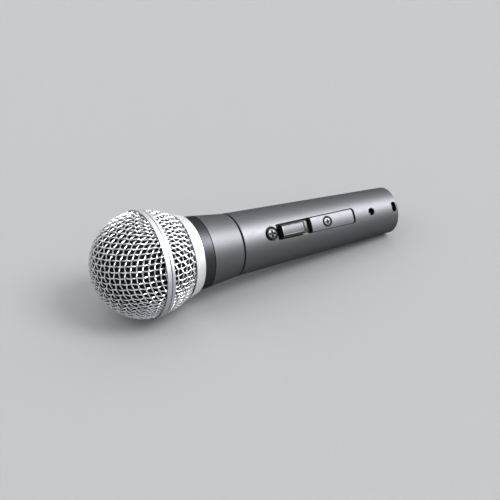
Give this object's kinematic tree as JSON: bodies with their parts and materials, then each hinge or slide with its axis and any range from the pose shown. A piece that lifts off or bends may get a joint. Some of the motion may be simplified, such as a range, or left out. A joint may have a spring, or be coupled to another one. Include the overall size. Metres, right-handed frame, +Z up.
{
  "type": "dynamic microphone",
  "caption": "Handheld vocal microphone: woven-wire ball grille with an equator band, flared metal collar, tapered handle with slide switch, lock plate and recessed three-contact socket.",
  "frame": {"origin": "on the table, under the middle of the bounding box of the microphone as it lies at rest", "axes": "+Z up; the microphone's axis lies in the XZ plane with the grille towards -X, raised 5.90 degrees; the tail and its connector point towards +X; the switch side is rolled 52.5 degrees from straight up towards -Y"},
  "size_m": [0.1624, 0.051, 0.0509],
  "materials": {
    "handle_enamel": "satin metallic grey enamel on a zinc casting",
    "ring_enamel": "satin charcoal enamel",
    "plated_ring": "satin nickel plate",
    "wire_cloth": "plain woven wire, nickel plated",
    "foam": "open-cell foam",
    "black_plastic": "moulded, fine grain",
    "button_metal": "satin",
    "dark_screw": "black oxide",
    "bright_screw": "zinc plate",
    "gold_contact": "gold plated",
    "shield_steel": "mill finish",
    "motor_iron": "machined",
    "copper_wire": "enamelled copper wire",
    "potting": "hot-melt potting compound",
    "rubber_black": "matt",
    "film": "polyester film",
    "felt": "pressed felt",
    "lead_jacket": "insulated stranded lead"
  },
  "bodies": {
    "handle": {"handle_shell": "handle_enamel", "lock_plate": "handle_enamel", "lock_plate_screw": "bright_screw", "switch_screw": "dark_screw", "insert_set_screw": "dark_screw", "xlr_insert": "black_plastic", "contact_pin_1": "gold_contact", "contact_pin_2": "gold_contact", "contact_pin_3": "gold_contact", "ground_contact": "gold_contact", "transformer_can": "shield_steel", "transformer_core": "motor_iron", "transformer_bobbin": "black_plastic", "transformer_winding": "copper_wire", "transformer_potting": "potting", "switch_housing": "black_plastic", "switch_bracket": "shield_steel", "switch_terminals": "gold_contact", "collar": "handle_enamel", "collar_gasket": "rubber_black", "name_ring": "ring_enamel", "shock_mount": "rubber_black", "output_leads": "lead_jacket", "transformer_leads": "lead_jacket", "cartridge_leads": "lead_jacket"},
    "switch_slider": {"switch_button": "button_metal", "switch_button_face": "button_metal", "switch_actuator": "black_plastic", "switch_dust_shield": "black_plastic"},
    "cartridge": {"cartridge_case": "black_plastic", "yoke_cup": "motor_iron", "magnet": "motor_iron", "pole_piece": "motor_iron", "top_plate": "motor_iron", "motor_spacer": "black_plastic", "diaphragm_surround": "film", "resonator_cap": "black_plastic", "front_ring": "rubber_black", "front_screen": "wire_cloth", "acoustic_felt": "felt", "terminal_board": "black_plastic", "cartridge_terminals": "gold_contact"},
    "diaphragm": {"diaphragm": "film", "voice_coil": "copper_wire"},
    "windscreen": {"foam_liner": "foam"},
    "grille": {"base_ring": "plated_ring", "rear_mesh": "wire_cloth", "front_mesh": "wire_cloth", "rear_hoop": "plated_ring", "front_hoop": "plated_ring"}
  },
  "joints": [
    {"name": "switch_slide", "type": "slide", "parent": "handle", "child": "switch_slider", "axis": [0.9947, 0, -0.1029], "range_m": [0, 0.003]},
    {"name": "cartridge_float", "type": "slide", "parent": "handle", "child": "cartridge", "axis": [-0.9947, 0, 0.1029], "range_m": [-0.0008, 0.0008], "stiffness_N_per_m": 1500, "deforming": ["shock_mount", "cartridge_leads"]},
    {"name": "diaphragm_travel", "type": "slide", "parent": "cartridge", "child": "diaphragm", "axis": [-0.9947, 0, 0.1029], "range_m": [-0.00025, 0.00025], "stiffness_N_per_m": 500, "deforming": ["diaphragm_surround"]},
    {"name": "grille_lift", "type": "slide", "parent": "handle", "child": "windscreen", "axis": [-0.9947, 0, 0.1029], "range_m": [0, 0.004]},
    {"name": "grille_turn", "type": "hinge", "parent": "windscreen", "child": "grille", "pos_m": [-0.0562, 0, 0.0255], "axis": [-0.9947, 0, 0.1029], "range_deg": [0, 1440]}
  ],
  "couplings": [
    {"joint": "grille_lift", "follows": "grille_turn", "m_per_rad": 0.00015915}
  ]
}
